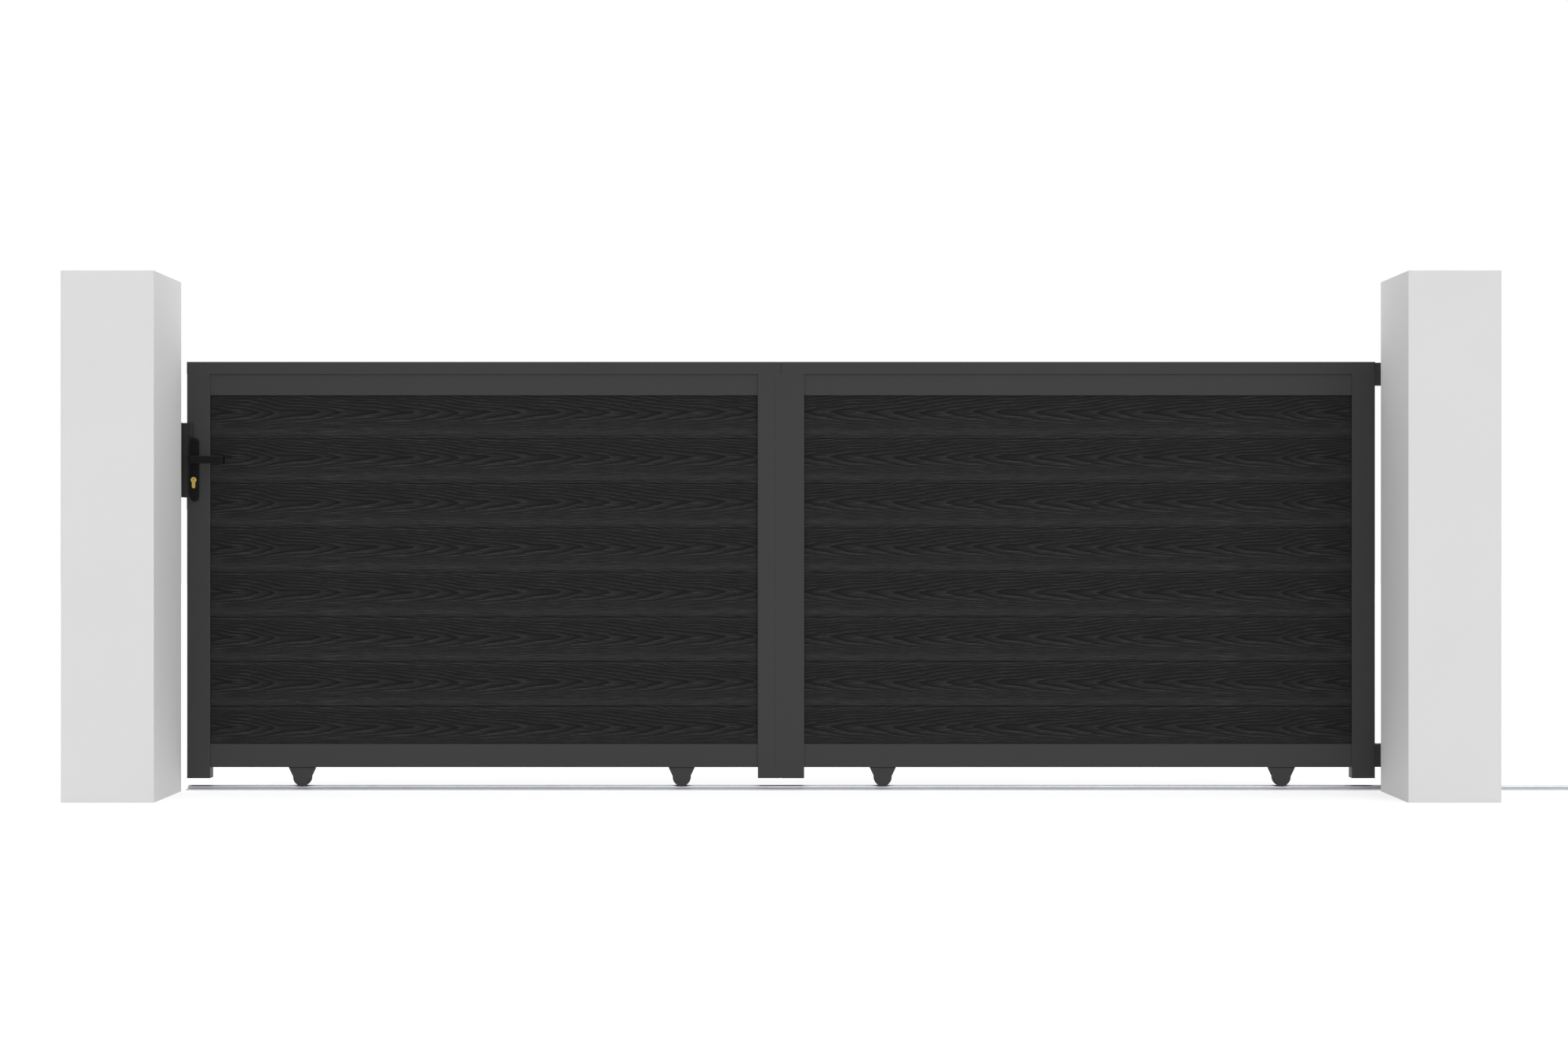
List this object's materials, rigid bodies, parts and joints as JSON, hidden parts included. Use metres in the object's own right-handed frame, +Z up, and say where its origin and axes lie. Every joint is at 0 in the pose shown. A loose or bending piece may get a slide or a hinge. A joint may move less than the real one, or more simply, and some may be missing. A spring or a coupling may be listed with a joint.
{
  "type": "sliding driveway gate",
  "caption": "Sliding driveway gate: dark board-filled leaf rolling on a ground rail, with lever lock, keeper, top guide and plain masonry pillars",
  "frame": {"origin": "middle of the left pillar's foot, at ground level", "axes": "+X along the gate towards the side it opens to, +Y away from the street, +Z up"},
  "size_m": [6.92, 0.411, 1.485],
  "materials": {
    "rendered_masonry": "matte",
    "galvanised_steel": "satin",
    "black_rubber": "matte",
    "black_hardware": "satin",
    "nylon": "matte",
    "grey_powder_coat": "matte",
    "wood_grain_boards": "matte",
    "black_plug": "matte",
    "grey_carrier": "matte",
    "wheel_steel": "satin",
    "bright_steel": "satin",
    "brass": "satin"
  },
  "bodies": {
    "ground_works": {"left_pillar": "rendered_masonry", "right_pillar": "rendered_masonry", "ground_rail": "galvanised_steel", "run_back_rail": "galvanised_steel", "end_stop": "galvanised_steel", "end_stop_buffer": "black_rubber", "keeper": "black_hardware", "guide_bracket": "galvanised_steel", "guide_pins": "galvanised_steel", "guide_rollers": "nylon"},
    "leaf": {"lock_stile": "grey_powder_coat", "left_meeting_stile": "grey_powder_coat", "right_meeting_stile": "grey_powder_coat", "tail_side_stile": "grey_powder_coat", "left_top_cap": "grey_powder_coat", "right_top_cap": "grey_powder_coat", "left_top_rail": "grey_powder_coat", "right_top_rail": "grey_powder_coat", "left_bottom_rail": "grey_powder_coat", "right_bottom_rail": "grey_powder_coat", "tail_top_rail": "grey_powder_coat", "tail_bottom_rail": "grey_powder_coat", "tail_end_stile": "grey_powder_coat", "left_boards": "wood_grain_boards", "right_boards": "wood_grain_boards", "stile_foot_plugs": "black_plug", "cap_end_plugs": "black_plug", "tail_plug": "black_plug", "wheel_carrier_1": "grey_carrier", "wheel_carrier_2": "grey_carrier", "wheel_carrier_3": "grey_carrier", "wheel_carrier_4": "grey_carrier", "wheel_axles": "galvanised_steel", "outer_backplate": "black_hardware", "inner_backplate": "black_hardware", "lock_cylinder": "brass", "lock_faceplate": "bright_steel"},
    "lever_set": {"outer_lever": "black_hardware", "inner_lever": "black_hardware", "spindle": "bright_steel"},
    "wheel_body_1": {"wheel_1": "wheel_steel"},
    "wheel_body_2": {"wheel_2": "wheel_steel"},
    "wheel_body_3": {"wheel_3": "wheel_steel"},
    "wheel_body_4": {"wheel_4": "wheel_steel"}
  },
  "joints": [
    {"name": "gate_slide", "type": "slide", "parent": "ground_works", "child": "leaf", "axis": [1, 0, 0], "range_m": [0, 3.3]},
    {"name": "lever_turn", "type": "hinge", "parent": "leaf", "child": "lever_set", "pos_m": [0.159, 0.197, 0.967], "axis": [0, 1, 0], "range_deg": [0, 40], "stiffness_Nm_per_rad": 1.2, "springref_deg": -34.38},
    {"name": "wheel_1_roll", "type": "hinge", "parent": "leaf", "child": "wheel_body_1", "pos_m": [0.472, 0.197, 0.036], "axis": [0, 1, 0], "continuous": true},
    {"name": "wheel_2_roll", "type": "hinge", "parent": "leaf", "child": "wheel_body_2", "pos_m": [1.588, 0.197, 0.036], "axis": [0, 1, 0], "continuous": true},
    {"name": "wheel_3_roll", "type": "hinge", "parent": "leaf", "child": "wheel_body_3", "pos_m": [2.179, 0.197, 0.036], "axis": [0, 1, 0], "continuous": true},
    {"name": "wheel_4_roll", "type": "hinge", "parent": "leaf", "child": "wheel_body_4", "pos_m": [3.352, 0.197, 0.036], "axis": [0, 1, 0], "continuous": true}
  ],
  "couplings": [
    {"joint": "wheel_1_roll", "follows": "gate_slide", "rad_per_m": 42.553},
    {"joint": "wheel_2_roll", "follows": "gate_slide", "rad_per_m": 42.553},
    {"joint": "wheel_3_roll", "follows": "gate_slide", "rad_per_m": 42.553},
    {"joint": "wheel_4_roll", "follows": "gate_slide", "rad_per_m": 42.553}
  ]
}
